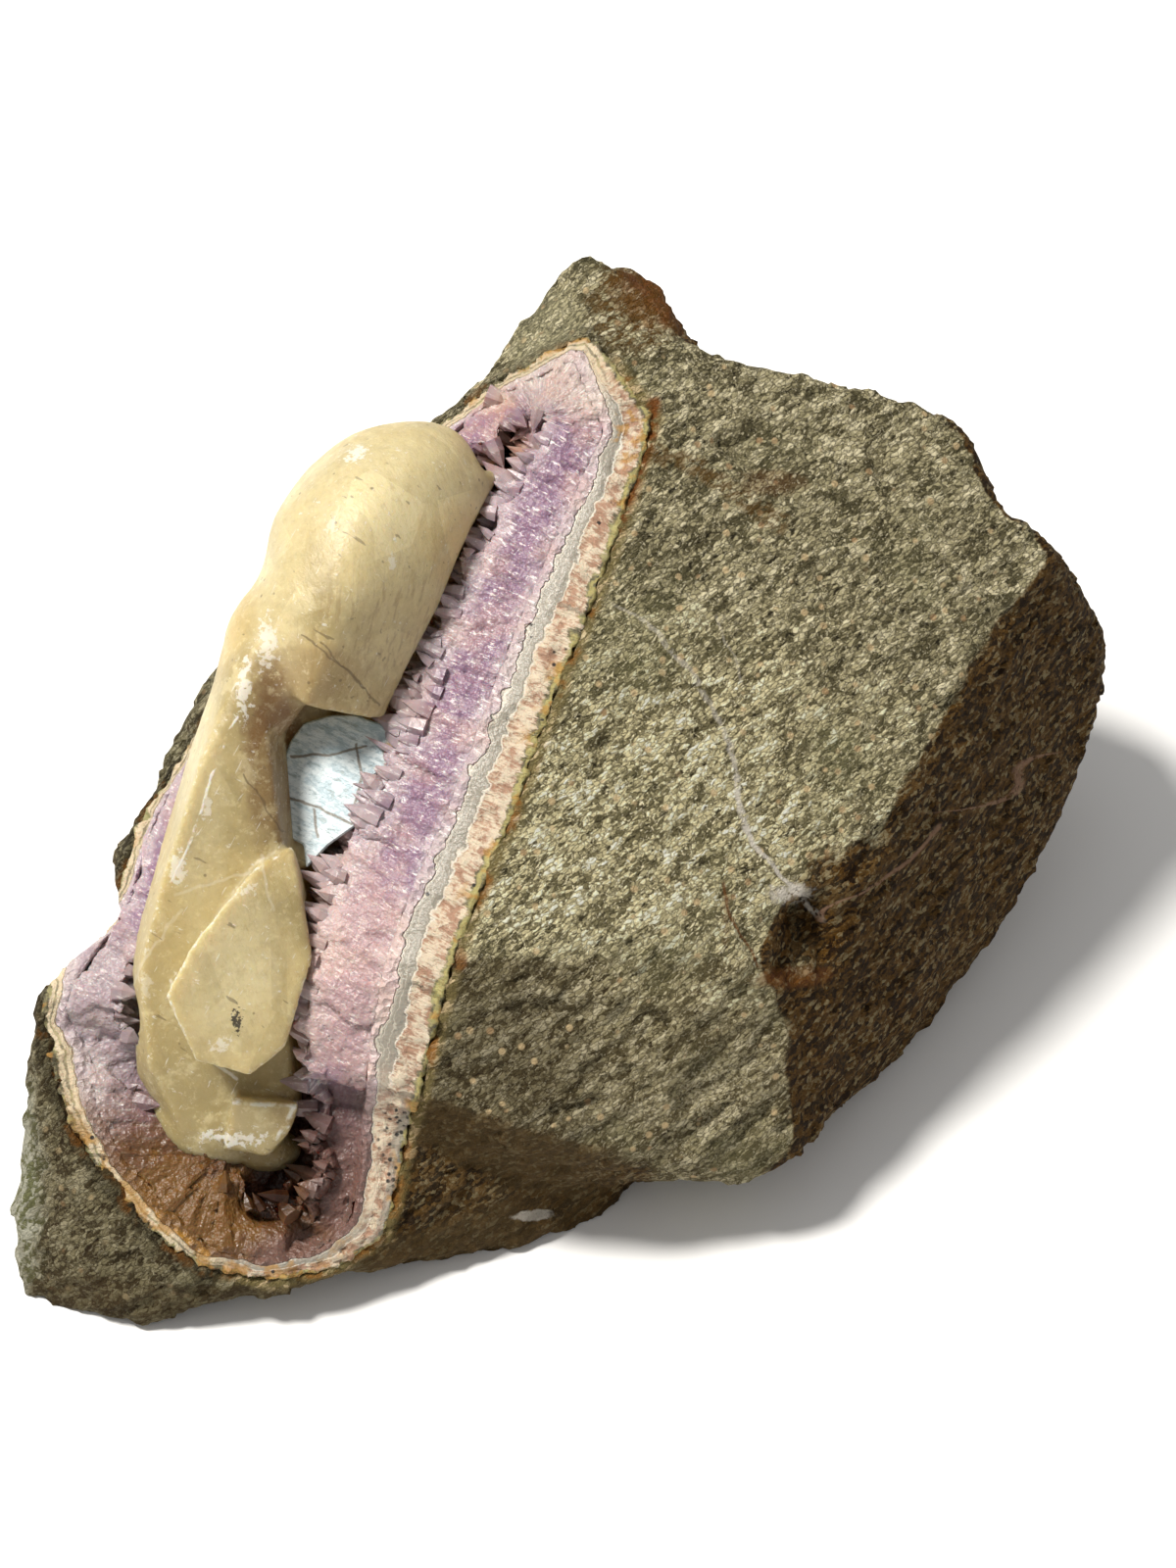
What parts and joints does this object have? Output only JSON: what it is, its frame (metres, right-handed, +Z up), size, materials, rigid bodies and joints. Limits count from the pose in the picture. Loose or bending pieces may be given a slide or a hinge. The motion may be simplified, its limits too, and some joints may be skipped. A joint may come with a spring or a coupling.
{
  "type": "amethyst geode fragment with calcite",
  "caption": "Broken piece of a basalt pocket lined with banded chalcedony and amethyst, holding a cluster of honey calcite crystals.",
  "frame": {"origin": "middle of the flat underside, which is the bottom centre of the specimen's box", "axes": "+Z up, +X along the longest side, +Y from the broken crystal face towards the back"},
  "size_m": [0.1722, 0.135, 0.0978],
  "materials": {
    "basalt": "broken matt basalt, grey-green on the bright face, darker brown on the weathered sides, pale specks and veins",
    "chalcedony": "waxy banded rind: dark selvage, pink-white fibrous layer, grey chalcedony with wavy white lines",
    "amethyst": "pale lilac quartz, glassy on the crystal points, sugary where broken, ochre stained low down",
    "calcite": "honey-coloured translucent crystal with satin faces, brown iron stain and one silvery cleavage face"
  },
  "bodies": {
    "root": {"basalt_matrix": "basalt", "chalcedony_rind": "chalcedony", "amethyst_crust": "amethyst", "calcite_crystals": "calcite"}
  },
  "joints": []
}
